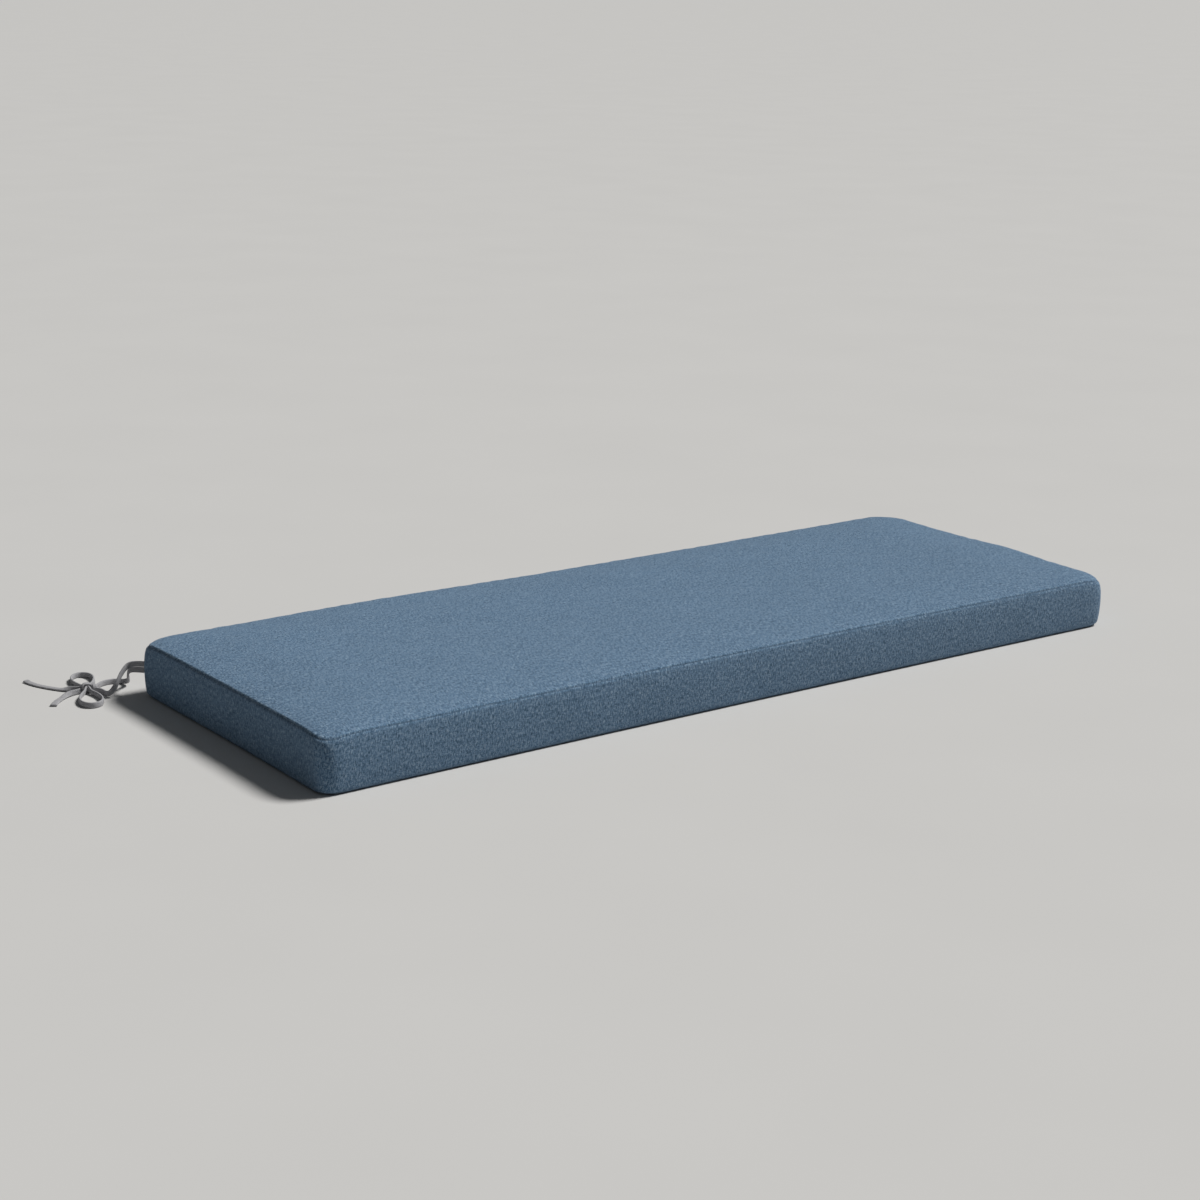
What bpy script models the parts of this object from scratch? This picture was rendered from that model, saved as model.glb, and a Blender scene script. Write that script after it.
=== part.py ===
"""Bench cushion, lying flat on its underside, with a tied bow at each rear corner.

Metres, +Z up. Origin: middle of the flat underside. +X runs along the cushion's
length, +Y from its front edge to its rear edge.

The cushion is one filled solid: a crowned top panel, a boxing strip round the four
sides that draws in a little between the corners, and a flat bottom panel. Two flat
ties are sewn into the boxing's upright seam at each rear corner, halfway up, one
above the other. They drop to the surface, part round the space that they tie
round, and meet in a bow: one knot, two loops and two free tails.
"""

import math
from collections import namedtuple

import bmesh
import bpy
from mathutils import Vector

# ---------------------------------------------------------------- named sizes
LENGTH = 1.380  # over the corners, along X
DEPTH = 0.492  # over the corners, along Y
CORNER_RADIUS = 0.022  # upright corners, seen from above
CROWN_ROUNDING = 0.50  # how fast the top's contour lines grow rounder inwards
CORNER_DROP = 0.0050  # the top falls this much at the upright corners
CORNER_DROP_REACH = 0.020  # over about this distance
DRAWN_IN_LONG = 0.0035  # the long sides pull in this much halfway along
DRAWN_IN_SHORT = 0.0022  # and the two ends this much

LONG_STEPS = 26  # mesh steps along a long side
SHORT_STEPS = 10  # along an end
CORNER_STEPS = 5  # round an upright corner

TIE_WIDTH = 0.0072  # the ties' width
GAP = 0.0003  # between pieces that meet
POINT_SPACING = 2.2 * TIE_WIDTH  # between the points of a tie's tube
# The rounded corner's middle is this far in from the square corner, each way,
# and the ties start just outside it.
SEWN_IN = 0.0007 - CORNER_RADIUS * (1 - math.sqrt(0.5))
END_TIE_HEIGHT = 0.0425  # the two ties leave one above the other,
BACK_TIE_HEIGHT = 0.0340  # halfway up the boxing

KNOT_RADIUS = 0.0098
KNOT_HEIGHT = 0.0140
KNOT_OUT = 0.056  # from the square corner to the knot, past the end
KNOT_BACK = 0.042  # and past the back
EXIT_RADIUS = KNOT_RADIUS + 0.0010  # where the ties' tubes meet the knot

# ------------------------------------------------------------------- profile
# The section through an edge, from the underside to the top: how far in from
# the outline, and how high.
EdgeRow = namedtuple("EdgeRow", "place inset height")
EDGE = (
    EdgeRow("underside, flat up to here", 0.0105, 0.0000),
    EdgeRow("bottom roll", 0.0066, 0.0007),
    EdgeRow("bottom seam", 0.0036, 0.0028),
    EdgeRow("boxing rolls up", 0.0018, 0.0060),
    EdgeRow("boxing, low", 0.0008, 0.0128),
    EdgeRow("boxing, lower middle", 0.0002, 0.0244),
    EdgeRow("boxing, fullest", 0.0000, 0.0382),
    EdgeRow("boxing, upper middle", 0.0002, 0.0521),
    EdgeRow("boxing, high", 0.0009, 0.0638),
    EdgeRow("boxing turns in", 0.0022, 0.0703),
    EdgeRow("top seam", 0.0040, 0.0740),
    EdgeRow("lip of the top panel", 0.0056, 0.0761),
    EdgeRow("top panel", 0.0100, 0.0780),
    EdgeRow("top panel", 0.0190, 0.0802),
    EdgeRow("top panel", 0.0340, 0.0821),
    EdgeRow("top panel", 0.0580, 0.0837),
    EdgeRow("top panel", 0.0920, 0.0847),
    EdgeRow("top of the crown, level from here", 0.1380, 0.0850),
)
TOP_SEAM_HEIGHT = 0.0740

# ---------------------------------------------------------------------- ties
# Each route is measured from a rear corner's square corner point: out past the
# end, back past the rear side, and height above the surface.
LIE = TIE_WIDTH / 2 + GAP  # height of a tie's middle when it lies on the surface
Stop = namedtuple("Stop", "out back height")
END_RUN = (  # leaves the corner and goes round the space on the end's side
    Stop(SEWN_IN, SEWN_IN, END_TIE_HEIGHT),
    Stop(0.0040, 0.0032, 0.0423),
    Stop(0.0120, 0.0068, 0.0395),
    Stop(0.0225, 0.0045, 0.0303),
    Stop(0.0320, 0.0012, 0.0175),
    Stop(0.0385, 0.0045, 0.0072),
    Stop(0.0410, 0.0130, LIE),
    Stop(0.0408, 0.0210, LIE),
    Stop(0.0425, 0.0288, LIE),
)
BACK_RUN = (  # leaves the corner and goes round the space on the back's side
    Stop(SEWN_IN, SEWN_IN, BACK_TIE_HEIGHT),
    Stop(0.0030, 0.0042, 0.0338),
    Stop(0.0062, 0.0130, 0.0308),
    Stop(0.0030, 0.0250, 0.0207),
    Stop(-0.0030, 0.0365, 0.0095),
    Stop(-0.0015, 0.0490, LIE),
    Stop(0.0100, 0.0575, LIE),
    Stop(0.0250, 0.0565, LIE),
    Stop(0.0370, 0.0490, LIE),
)
# Loops and tails are measured from the knot, along a bearing (degrees from the
# inward X direction, turning towards the back) and to the left of it.
Part = namedtuple("Part", "along aside")
HALF_LOOP = (
    Part(0.0160, 0.0068),
    Part(0.0280, 0.0118),
    Part(0.0420, 0.0148),
    Part(0.0560, 0.0140),
    Part(0.0662, 0.0088),
)
LOOP_TIP = Part(0.0705, 0.0)
FAR_TAIL = (
    Part(0.0180, 0.0000),
    Part(0.0340, -0.0030),
    Part(0.0520, -0.0085),
    Part(0.0700, -0.0165),
    Part(0.0850, -0.0260),
    Part(0.0950, -0.0355),
)
NEAR_TAIL = (
    Part(0.0180, 0.0000),
    Part(0.0320, 0.0025),
    Part(0.0450, 0.0085),
    Part(0.0570, 0.0180),
    Part(0.0650, 0.0270),
)
# Where each stretch meets the knot: eight places, 45 degrees apart.
END_RUN_BEARING = 320.0
BACK_RUN_BEARING = 5.0
FAR_LOOP_BEARING = 72.5
FAR_TAIL_BEARING = 140.0
NEAR_TAIL_BEARING = 185.0
NEAR_LOOP_BEARING = 252.5
HALF_LOOP_ANGLE = 22.5

CLOTH = (0.130, 0.200, 0.285, 1.0)
TIE_CLOTH = (0.330, 0.330, 0.345, 1.0)


# ------------------------------------------------------------------- helpers
def clear_scene():
    for thing in list(bpy.data.objects):
        bpy.data.objects.remove(thing, do_unlink=True)


def cloth_material(name, colour, roughness):
    material = bpy.data.materials.new(name)
    material.use_nodes = True
    shader = material.node_tree.nodes["Principled BSDF"]
    shader.inputs["Base Color"].default_value = colour
    shader.inputs["Roughness"].default_value = roughness
    shader.inputs["Metallic"].default_value = 0.0
    return material


def add_object(name, data, material):
    data.materials.append(material)
    thing = bpy.data.objects.new(name, data)
    bpy.context.scene.collection.objects.link(thing)
    return thing


def outline(inset):
    """The cushion's outline seen from above, this far in: a rounded rectangle, anticlockwise."""
    half_x, half_y = LENGTH / 2 - inset, DEPTH / 2 - inset
    radius = CORNER_RADIUS + CROWN_ROUNDING * inset
    corners = (  # the sign of each corner, and where its quarter turn starts
        (1, -1, -90.0, SHORT_STEPS),
        (1, 1, 0.0, LONG_STEPS),
        (-1, 1, 90.0, SHORT_STEPS),
        (-1, -1, 180.0, LONG_STEPS),
    )
    arcs = []
    for sign_x, sign_y, start, _ in corners:
        middle = Vector((sign_x * (half_x - radius), sign_y * (half_y - radius)))
        turn = [
            math.radians(start + 90.0 * k / CORNER_STEPS) for k in range(CORNER_STEPS + 1)
        ]
        arcs.append([middle + radius * Vector((math.cos(a), math.sin(a))) for a in turn])
    points = []
    for index, (_, _, _, steps) in enumerate(corners):
        arc, following = arcs[index], arcs[(index + 1) % 4]
        points += arc
        points += [arc[-1].lerp(following[0], k / steps) for k in range(1, steps)]
    return [drawn_in(p) for p in points]


def drawn_in(point):
    """Pulls the sides in between the corners."""
    across = 1.0 - (2.0 * point.x / LENGTH) ** 2
    along = 1.0 - (2.0 * point.y / DEPTH) ** 2
    return Vector(
        (
            point.x * (1.0 - DRAWN_IN_SHORT / (LENGTH / 2) * along),
            point.y * (1.0 - DRAWN_IN_LONG / (DEPTH / 2) * across),
        )
    )


def dropped(point, height):
    """The height of a point of the section, lowered towards the upright corners."""
    away = math.hypot(LENGTH / 2 - abs(point.x), DEPTH / 2 - abs(point.y))
    away = max(away - CORNER_RADIUS * (math.sqrt(2) - 1), 0.0)
    share = min(height / TOP_SEAM_HEIGHT, 1.0) ** 2
    return height - CORNER_DROP * share * math.exp(-((away / CORNER_DROP_REACH) ** 2))


def make_cushion(material):
    shape = bmesh.new()
    rings = [
        [shape.verts.new((p.x, p.y, dropped(p, row.height))) for p in outline(row.inset)]
        for row in EDGE
    ]
    count = len(rings[0])
    for low, high in zip(rings, rings[1:]):
        for k in range(count):
            after = (k + 1) % count
            shape.faces.new((low[k], low[after], high[after], high[k]))
    shape.faces.new(list(reversed(rings[0])))
    shape.faces.new(rings[-1])
    bmesh.ops.recalc_face_normals(shape, faces=shape.faces)
    mesh = bpy.data.meshes.new("cushion")
    shape.to_mesh(mesh)
    shape.free()
    mesh.shade_smooth()
    mesh.set_sharp_from_angle(angle=math.radians(40))
    return add_object("cushion", mesh, material)


def smooth_line(stops, spacing):
    """Evenly spaced points on a smooth curve through the stops."""
    stops = [Vector(s) for s in stops]
    ends = [2 * stops[0] - stops[1]] + stops + [2 * stops[-1] - stops[-2]]
    fine = [stops[0]]
    for a, b, c, d in zip(ends, ends[1:], ends[2:], ends[3:]):
        for k in range(1, 25):
            t = k / 24
            fine.append(
                0.5
                * (
                    2 * b
                    + (c - a) * t
                    + (2 * a - 5 * b + 4 * c - d) * t**2
                    + (3 * b - a - 3 * c + d) * t**3
                )
            )
    reach = [0.0]
    for p, q in zip(fine, fine[1:]):
        reach.append(reach[-1] + (q - p).length)
    steps = max(2, round(reach[-1] / spacing))
    points, at = [], 0
    for k in range(steps + 1):
        target = reach[-1] * k / steps
        while at < len(fine) - 2 and reach[at + 1] < target:
            at += 1
        share = (target - reach[at]) / max(reach[at + 1] - reach[at], 1e-9)
        points.append(fine[at].lerp(fine[at + 1], min(1.0, share)))
    return points


def make_tube(name, points, material):
    curve = bpy.data.curves.new(name, "CURVE")
    curve.dimensions = "3D"
    curve.bevel_depth = TIE_WIDTH / 2
    curve.bevel_resolution = 2
    curve.use_fill_caps = True
    spline = curve.splines.new("POLY")
    spline.points.add(len(points) - 1)
    for point, place in zip(spline.points, points):
        point.co = (*place, 1.0)
    return add_object(name, curve, material)


class RearCorner:
    """Turns a corner's own measures into places. side is -1 at the left end and 1 at the right."""

    def __init__(self, side):
        self.side = side
        self.knot = self.place(Stop(KNOT_OUT, KNOT_BACK, LIE))

    def place(self, stop):
        return Vector(
            (self.side * (LENGTH / 2 + stop.out), DEPTH / 2 + stop.back, stop.height)
        )

    def from_knot(self, bearing, along, aside=0.0):
        turn = math.radians(bearing)
        x = along * math.cos(turn) - aside * math.sin(turn)
        y = along * math.sin(turn) + aside * math.cos(turn)
        return self.knot + Vector((-self.side * x, y, 0.0))

    def run(self, stops, bearing):
        return [self.place(s) for s in stops] + [self.from_knot(bearing, EXIT_RADIUS)]

    def loop(self, bearing):
        near, far = bearing - HALF_LOOP_ANGLE, bearing + HALF_LOOP_ANGLE
        out = [self.from_knot(bearing, p.along, -p.aside) for p in HALF_LOOP]
        home = [self.from_knot(bearing, p.along, p.aside) for p in reversed(HALF_LOOP)]
        tip = self.from_knot(bearing, LOOP_TIP.along, LOOP_TIP.aside)
        return (
            [self.from_knot(near, EXIT_RADIUS)]
            + out
            + [tip]
            + home
            + [self.from_knot(far, EXIT_RADIUS)]
        )

    def tail(self, bearing, parts):
        return [self.from_knot(bearing, EXIT_RADIUS)] + [
            self.from_knot(bearing, p.along, p.aside) for p in parts
        ]


def make_knot(name, corner, material):
    """A squashed ball with the last turn of the tie as a band round its middle."""
    shape = bmesh.new()
    bmesh.ops.create_uvsphere(shape, u_segments=24, v_segments=14, radius=1.0)
    tilt = Vector((0.55, 0.80, 0.25)).normalized()
    for vert in shape.verts:
        across = vert.co.normalized().dot(tilt)
        band = math.exp(-((across / 0.30) ** 4))
        groove = math.exp(-(((abs(across) - 0.46) / 0.10) ** 2))
        vert.co *= 0.955 + 0.045 * band - 0.06 * groove
        vert.co.x *= KNOT_RADIUS
        vert.co.y *= KNOT_RADIUS
        vert.co.z *= KNOT_HEIGHT / 2
        vert.co += Vector((corner.knot.x, corner.knot.y, KNOT_HEIGHT / 2 + GAP))
    bmesh.ops.recalc_face_normals(shape, faces=shape.faces)
    mesh = bpy.data.meshes.new(name)
    shape.to_mesh(mesh)
    shape.free()
    mesh.shade_smooth()
    return add_object(name, mesh, material)


def make_bow(side_name, side, material):
    corner = RearCorner(side)
    stretches = (
        ("end_tie_run", corner.run(END_RUN, END_RUN_BEARING)),
        ("end_tie_loop", corner.loop(FAR_LOOP_BEARING)),
        ("end_tie_tail", corner.tail(NEAR_TAIL_BEARING, NEAR_TAIL)),
        ("back_tie_run", corner.run(BACK_RUN, BACK_RUN_BEARING)),
        ("back_tie_loop", corner.loop(NEAR_LOOP_BEARING)),
        ("back_tie_tail", corner.tail(FAR_TAIL_BEARING, FAR_TAIL)),
    )
    for name, stops in stretches:
        line = smooth_line(stops, POINT_SPACING)
        make_tube(f"{side_name}_{name}", line, material)
    make_knot(f"{side_name}_knot", corner, material)


def main():
    clear_scene()
    cloth = cloth_material("cushion_cloth", CLOTH, 0.9)
    tie_cloth = cloth_material("tie_cloth", TIE_CLOTH, 0.85)
    make_cushion(cloth)
    make_bow("left", -1, tie_cloth)
    make_bow("right", 1, tie_cloth)


main()
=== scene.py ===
"""Looks of the bench cushion: cloth cover, seams, flat ties and bows, floor, lights and camera.

Metres, +Z up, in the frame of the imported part.
"""

import math

import bpy
import numpy as np
from mathutils import Matrix, Vector, kdtree


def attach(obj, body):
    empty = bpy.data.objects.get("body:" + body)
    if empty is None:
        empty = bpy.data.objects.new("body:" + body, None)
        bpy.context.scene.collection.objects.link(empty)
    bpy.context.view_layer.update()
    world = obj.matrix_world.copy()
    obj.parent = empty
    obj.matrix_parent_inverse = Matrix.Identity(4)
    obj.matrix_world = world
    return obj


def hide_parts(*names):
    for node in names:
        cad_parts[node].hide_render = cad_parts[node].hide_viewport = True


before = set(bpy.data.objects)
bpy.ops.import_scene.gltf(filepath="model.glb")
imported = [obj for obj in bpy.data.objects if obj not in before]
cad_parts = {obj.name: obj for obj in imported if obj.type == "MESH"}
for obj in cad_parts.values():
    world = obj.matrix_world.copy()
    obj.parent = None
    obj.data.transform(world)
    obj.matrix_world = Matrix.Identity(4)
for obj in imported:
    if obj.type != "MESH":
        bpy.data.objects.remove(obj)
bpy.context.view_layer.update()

# ------------------------------------------------------------- sizes, as in the part
LENGTH = 1.380
DEPTH = 0.492
CORNER_RADIUS = 0.022
CROWN_ROUNDING = 0.50
CORNER_DROP = 0.0050
CORNER_DROP_REACH = 0.020
FULLER_END = 0.0036
FULLER_BACK = 0.0028
DRAWN_IN_LONG = 0.0035
DRAWN_IN_SHORT = 0.0022
TOP_SEAM_HEIGHT = 0.0740
# (inset, height) of the section through an edge
BOTTOM_EDGE = ((0.0036, 0.0028), (0.0066, 0.0007), (0.0105, 0.0), (0.3, 0.0))
BOXING = (
    (0.0036, 0.0028),
    (0.0018, 0.0060),
    (0.0008, 0.0128),
    (0.0002, 0.0244),
    (0.0000, 0.0382),
    (0.0002, 0.0521),
    (0.0009, 0.0638),
    (0.0022, 0.0703),
    (0.0040, 0.0740),
)
TOP_EDGE = (
    (0.0040, 0.0740),
    (0.0056, 0.0761),
    (0.0100, 0.0780),
    (0.0190, 0.0802),
    (0.0340, 0.0821),
    (0.0580, 0.0837),
    (0.0920, 0.0847),
    (0.1380, 0.0850),
    (0.3000, 0.0850),
)

TIE_WIDTH = 0.0072
TIE_THICKNESS = 0.0030
GAP = 0.0003
LIE = TIE_WIDTH / 2 + GAP
SEWN_IN = 0.0007 - CORNER_RADIUS * (1 - math.sqrt(0.5))
KNOT_RADIUS = 0.0098
EXIT_RADIUS = KNOT_RADIUS + 0.0010
KNOT_OUT, KNOT_BACK = 0.056, 0.042
# (out past the end, back past the rear, height) from a rear corner's square corner point
END_RUN = (
    (SEWN_IN, SEWN_IN, 0.0425),
    (0.0040, 0.0032, 0.0423),
    (0.0120, 0.0068, 0.0395),
    (0.0225, 0.0045, 0.0303),
    (0.0320, 0.0012, 0.0175),
    (0.0385, 0.0045, 0.0072),
    (0.0410, 0.0130, LIE),
    (0.0408, 0.0210, LIE),
    (0.0425, 0.0288, LIE),
)
BACK_RUN = (
    (SEWN_IN, SEWN_IN, 0.0340),
    (0.0030, 0.0042, 0.0338),
    (0.0062, 0.0130, 0.0308),
    (0.0030, 0.0250, 0.0207),
    (-0.0030, 0.0365, 0.0095),
    (-0.0015, 0.0490, LIE),
    (0.0100, 0.0575, LIE),
    (0.0250, 0.0565, LIE),
    (0.0370, 0.0490, LIE),
)
# (along, aside) from the knot, on a bearing
HALF_LOOP = ((0.0160, 0.0068), (0.0280, 0.0118), (0.0420, 0.0148), (0.0560, 0.0140), (0.0662, 0.0088))
LOOP_TIP = (0.0705, 0.0)
FAR_TAIL = ((0.0180, 0.0), (0.0340, -0.0030), (0.0520, -0.0085), (0.0700, -0.0165), (0.0850, -0.0260), (0.0950, -0.0355))
NEAR_TAIL = ((0.0180, 0.0), (0.0320, 0.0025), (0.0450, 0.0085), (0.0570, 0.0180), (0.0650, 0.0270))
END_RUN_BEARING, BACK_RUN_BEARING = 320.0, 5.0
FAR_LOOP_BEARING, NEAR_LOOP_BEARING = 72.5, 252.5
FAR_TAIL_BEARING, NEAR_TAIL_BEARING = 140.0, 185.0
HALF_LOOP_ANGLE = 22.5

SCENE = bpy.context.scene


# --------------------------------------------------------------------------- camera
def make_camera():
    data = bpy.data.cameras.new("camera")
    data.lens = 70.109
    data.sensor_width = 36.0
    data.clip_start, data.clip_end = 0.05, 300.0
    camera = bpy.data.objects.new("camera", data)
    right = (0.80223082, -0.59667562, 0.02009752)
    up = (0.14520679, 0.22766191, 0.96285256)
    back = (-0.57908609, -0.7695117, 0.26927875)
    place = (-2.00383, -2.53498, 0.98746)
    camera.matrix_world = Matrix(
        [[right[k], up[k], back[k], place[k]] for k in range(3)] + [[0, 0, 0, 1]]
    )
    SCENE.collection.objects.link(camera)
    SCENE.camera = camera


# ------------------------------------------------------------------------ materials
class Nodes:
    """A material's node tree, with short calls for the sums it needs."""

    def __init__(self, name):
        self.material = bpy.data.materials.new(name)
        self.material.use_nodes = True
        self.tree = self.material.node_tree
        self.shader = self.tree.nodes["Principled BSDF"]

    def add(self, kind, inputs=(), **settings):
        node = self.tree.nodes.new(kind)
        for key, value in settings.items():
            setattr(node, key, value)
        for key, value in dict(inputs).items():
            self.feed(node.inputs[key], value)
        return node

    def feed(self, socket, value):
        if isinstance(value, bpy.types.NodeSocket):
            self.tree.links.new(value, socket)
        else:
            socket.default_value = value

    def sum(self, operation, *values):
        node = self.add("ShaderNodeMath", operation=operation)
        for socket, value in zip(node.inputs, values):
            self.feed(socket, value)
        return node.outputs[0]

    def pick(self, share, low, high):
        node = self.add("ShaderNodeMix", {0: share, 2: low, 3: high}, data_type="FLOAT")
        return node.outputs[0]

    def vector(self, x=0.0, y=0.0, z=0.0):
        return self.add("ShaderNodeCombineXYZ", {0: x, 1: y, 2: z}).outputs[0]

    def noise(self, vector, scale, detail=2.0, roughness=0.5):
        node = self.add(
            "ShaderNodeTexNoise",
            {"Vector": vector, "Scale": scale, "Detail": detail, "Roughness": roughness},
        )
        return node.outputs["Fac"]

    def spread(self, value, low, high, to_low=0.0, to_high=1.0):
        node = self.add(
            "ShaderNodeMapRange", {0: value, 1: low, 2: high, 3: to_low, 4: to_high}
        )
        return node.outputs[0]

    def ramp(self, share, stops):
        node = self.add("ShaderNodeValToRGB", {0: share})
        marks = node.color_ramp.elements
        while len(marks) < len(stops):
            marks.new(0.5)
        for mark, (place, colour) in zip(marks, stops):
            mark.position = place
            mark.color = (*colour, 1.0)
        return node.outputs[0]

    def times(self, colour, share):
        """The colour with its brightness multiplied."""
        node = self.add("ShaderNodeVectorMath", {0: colour}, operation="SCALE")
        self.feed(node.inputs["Scale"], share)
        return node.outputs[0]

    def attribute(self, name):
        return self.add("ShaderNodeAttribute", attribute_name=name).outputs["Fac"]


def woven(nodes, across, along, warp_pitch, weft_pitch, wobble):
    """Plain weave from two lengths in metres: its height, each thread's slow and quick shade, and its fine fibres."""
    place = nodes.vector(across, along)
    drift_u = nodes.spread(nodes.noise(place, 55.0), 0.0, 1.0, -wobble, wobble)
    shifted = nodes.add("ShaderNodeVectorMath", {0: place, 1: (3.1, 7.7, 0.0)}, operation="ADD")
    drift_v = nodes.spread(nodes.noise(shifted.outputs[0], 55.0), 0.0, 1.0, -wobble, wobble)
    u = nodes.sum("ADD", nodes.sum("DIVIDE", across, warp_pitch), drift_u)
    v = nodes.sum("ADD", nodes.sum("DIVIDE", along, weft_pitch), drift_v)
    warp, weft = nodes.sum("FLOOR", u), nodes.sum("FLOOR", v)
    over = nodes.sum("FLOORED_MODULO", nodes.sum("ADD", warp, weft), 2.0)
    round_u = nodes.sum("SINE", nodes.sum("MULTIPLY", nodes.sum("FRACT", u), math.pi))
    round_v = nodes.sum("SINE", nodes.sum("MULTIPLY", nodes.sum("FRACT", v), math.pi))
    warp_up = nodes.sum(
        "MULTIPLY", nodes.sum("POWER", round_u, 0.6), nodes.spread(round_v, 0, 1, 0.45, 1.0)
    )
    weft_up = nodes.sum(
        "MULTIPLY", nodes.sum("POWER", round_v, 0.6), nodes.spread(round_u, 0, 1, 0.40, 0.9)
    )
    height = nodes.pick(over, warp_up, weft_up)

    def along_thread(index, step, reach, rate, level, detail):
        place = nodes.vector(nodes.sum("MULTIPLY", index, step), nodes.sum("MULTIPLY", reach, rate), level)
        return nodes.noise(place, 1.0, detail)

    # Not over gives the warp thread, over the weft thread.
    thread = nodes.pick(
        over, along_thread(warp, 7.31, v, 0.20, 1.7, 1.0), along_thread(weft, 5.77, u, 0.20, 9.3, 1.0)
    )
    fleck = nodes.pick(
        over, along_thread(warp, 3.87, v, 0.55, 21.4, 2.0), along_thread(weft, 4.63, u, 0.62, 33.9, 2.0)
    )
    fibre_warp = nodes.noise(
        nodes.vector(nodes.sum("MULTIPLY", u, 9.0), nodes.sum("MULTIPLY", v, 1.6)), 1.0, 2.0, 0.6
    )
    fibre_weft = nodes.noise(
        nodes.vector(nodes.sum("MULTIPLY", u, 1.6), nodes.sum("MULTIPLY", v, 9.0), 4.0), 1.0, 2.0, 0.6
    )
    fibre = nodes.pick(over, fibre_warp, fibre_weft)
    return height, thread, fleck, fibre, over


def cushion_cloth():
    nodes = Nodes("cushion_cloth")
    uv = nodes.add("ShaderNodeUVMap", uv_map="weave").outputs[0]
    split = nodes.add("ShaderNodeSeparateXYZ", {0: uv})
    across, along = split.outputs[0], split.outputs[1]
    height, thread, fleck, fibre, over = woven(nodes, across, along, 0.00118, 0.00114, 0.22)
    shade = nodes.sum(
        "ADD",
        nodes.sum("MULTIPLY", nodes.spread(thread, 0.32, 0.68), 0.44),
        nodes.sum(
            "ADD",
            nodes.sum("MULTIPLY", nodes.spread(fleck, 0.30, 0.70), 0.40),
            nodes.sum("MULTIPLY", fibre, 0.20),
        ),
    )
    # The warp is a little lighter than the weft, and the mixed fibres bunch into short upright flecks.
    shade = nodes.sum("ADD", shade, nodes.pick(over, 0.04, -0.04))
    bunches = nodes.noise(nodes.vector(nodes.sum("MULTIPLY", across, 1.9), nodes.sum("MULTIPLY", along, 0.62), 2.0), 330.0, 2.0)
    shade = nodes.sum("ADD", shade, nodes.spread(bunches, 0.28, 0.72, -0.31, 0.31))
    colour = nodes.ramp(
        shade,
        (
            (0.14, (0.040, 0.082, 0.140)),
            (0.36, (0.083, 0.157, 0.255)),
            (0.54, (0.124, 0.216, 0.331)),
            (0.74, (0.190, 0.297, 0.424)),
            (0.94, (0.318, 0.430, 0.550)),
        ),
    )
    place = nodes.vector(across, along)
    patches = nodes.spread(nodes.noise(place, 9.0, 3.0), 0.25, 0.75, 0.975, 1.025)
    cloudy = nodes.spread(nodes.noise(place, 260.0, 2.0), 0.2, 0.8, 0.94, 1.06)
    # Painted shade darkens the gaps between the threads.
    painted_gap_shade = nodes.spread(height, 0.0, 0.72, 0.52, 1.05)
    broken = nodes.spread(nodes.noise(place, 230.0, 2.0), 0.35, 0.65)
    lip = nodes.attribute("lip")
    # Stitches pull the lip in; a painted highlight lightens its round and painted shade darkens its small dents.
    painted_dent_shade = nodes.spread(nodes.sum("MULTIPLY", lip, nodes.spread(broken, 0.0, 0.5, 1.0, 0.0)), 0.0, 1.0, 1.0, 0.74)
    painted_lip_highlight = nodes.spread(lip, 0.0, 1.0, 1.0, 1.12)
    # Painted shade darkens the seam grooves, broken up by noise.
    in_seam = nodes.sum("MULTIPLY", nodes.attribute("seam_shade"), nodes.spread(broken, 0.0, 1.0, 1.0, 0.62))
    seam_shade = nodes.spread(in_seam, 0.0, 1.0, 1.0, 0.60)
    for share in (patches, cloudy, painted_gap_shade, seam_shade, painted_lip_highlight, painted_dent_shade):
        colour = nodes.times(colour, share)
    nodes.feed(nodes.shader.inputs["Base Color"], colour)
    nodes.feed(
        nodes.shader.inputs["Roughness"], nodes.spread(shade, 0.0, 1.0, 0.96, 0.82)
    )
    small = nodes.sum(
        "ADD",
        nodes.sum("MULTIPLY", height, nodes.spread(thread, 0.3, 0.7, 0.8, 1.15)),
        nodes.sum("MULTIPLY", fibre, 0.22),
    )
    weave = nodes.add(
        "ShaderNodeBump", {"Strength": 0.75, "Distance": 0.00042, "Height": small}
    )
    nodes.feed(nodes.shader.inputs["Normal"], weave.outputs[0])
    nodes.shader.inputs["Metallic"].default_value = 0.0
    nodes.shader.inputs["Specular IOR Level"].default_value = 0.22
    nodes.shader.inputs["Sheen Weight"].default_value = 0.16
    nodes.shader.inputs["Sheen Roughness"].default_value = 0.45
    nodes.shader.inputs["Sheen Tint"].default_value = (0.72, 0.80, 0.90, 1.0)
    return nodes.material


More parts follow.
